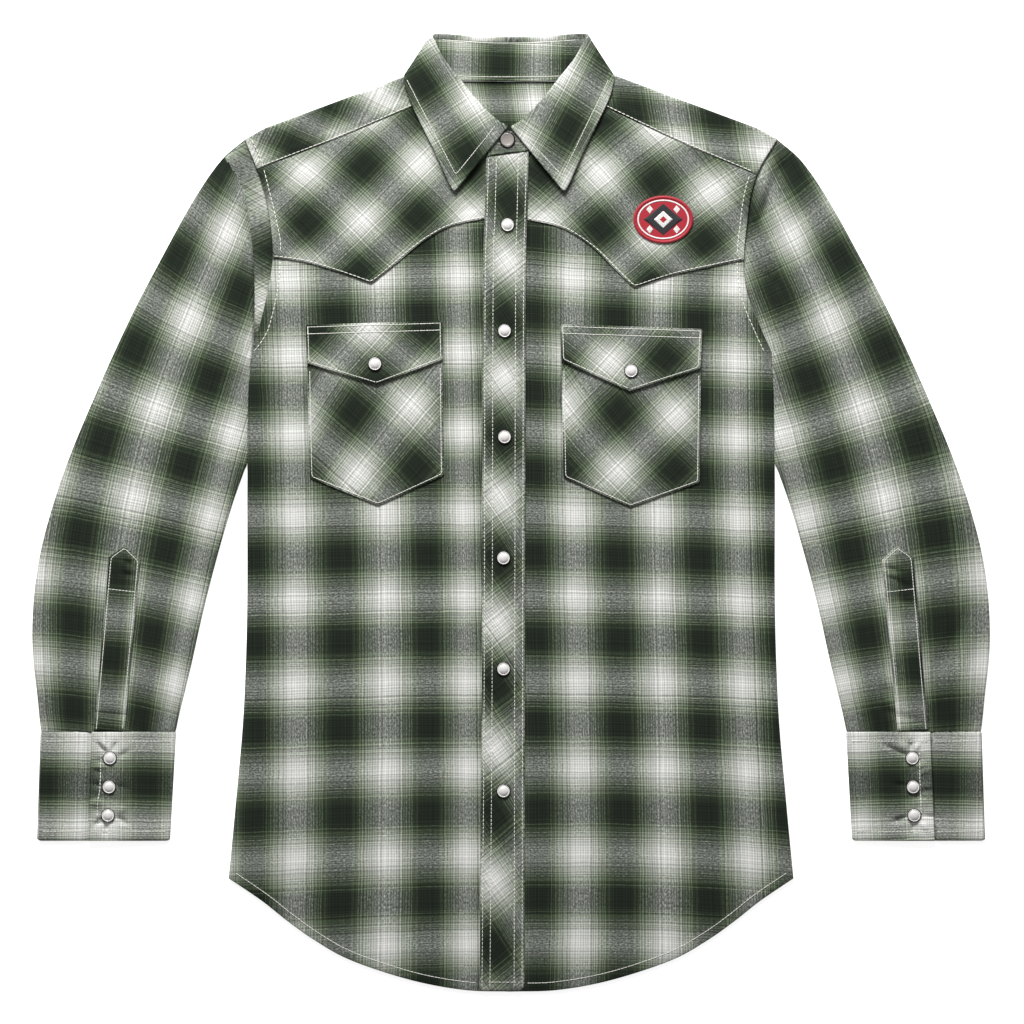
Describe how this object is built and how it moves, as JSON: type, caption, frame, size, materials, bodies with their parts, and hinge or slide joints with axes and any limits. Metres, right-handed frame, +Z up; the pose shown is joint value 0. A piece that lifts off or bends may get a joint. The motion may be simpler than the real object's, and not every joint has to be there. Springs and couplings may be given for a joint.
{
  "type": "western snap shirt",
  "caption": "Long-sleeved western shirt laid flat, front up, with pointed yokes, flapped chest pockets, pearl snaps and a shirt-tail hem.",
  "frame": {"origin": "middle of the footprint, on the surface that the shirt lies on", "axes": "+X to the wearer's left, +Y from the hem towards the collar, +Z up out of the front"},
  "size_m": [0.824, 0.8238, 0.0104],
  "materials": {
    "flannel_straight": "brushed cotton flannel twill in a green and white shadow check, cut on the straight grain",
    "flannel_bias": "the same flannel cut on the bias",
    "pearl_snap": "pearl cap in a thin metal rim",
    "woven_badge": "woven badge with a satin-stitched edge"
  },
  "bodies": {
    "root": {"back": "flannel_straight", "front_right": "flannel_straight", "front_left": "flannel_straight", "sleeve_right": "flannel_straight", "sleeve_left": "flannel_straight", "cuff_right": "flannel_straight", "cuff_left": "flannel_straight", "sleeve_placket_right": "flannel_straight", "sleeve_placket_left": "flannel_straight", "collar_leaf": "flannel_straight", "collar_stand": "flannel_straight", "yoke": "flannel_bias", "front_yoke_right": "flannel_bias", "front_yoke_left": "flannel_bias", "placket": "flannel_bias", "pocket_right": "flannel_bias", "pocket_left": "flannel_bias", "flap_right": "flannel_bias", "flap_left": "flannel_bias", "snap_placket_1": "pearl_snap", "snap_placket_2": "pearl_snap", "snap_placket_3": "pearl_snap", "snap_placket_4": "pearl_snap", "snap_placket_5": "pearl_snap", "snap_placket_6": "pearl_snap", "snap_stand": "pearl_snap", "snap_flap_right": "pearl_snap", "snap_flap_left": "pearl_snap", "snap_cuff_right_1": "pearl_snap", "snap_cuff_right_2": "pearl_snap", "snap_cuff_right_3": "pearl_snap", "snap_cuff_left_1": "pearl_snap", "snap_cuff_left_2": "pearl_snap", "snap_cuff_left_3": "pearl_snap", "badge": "woven_badge"}
  },
  "joints": []
}
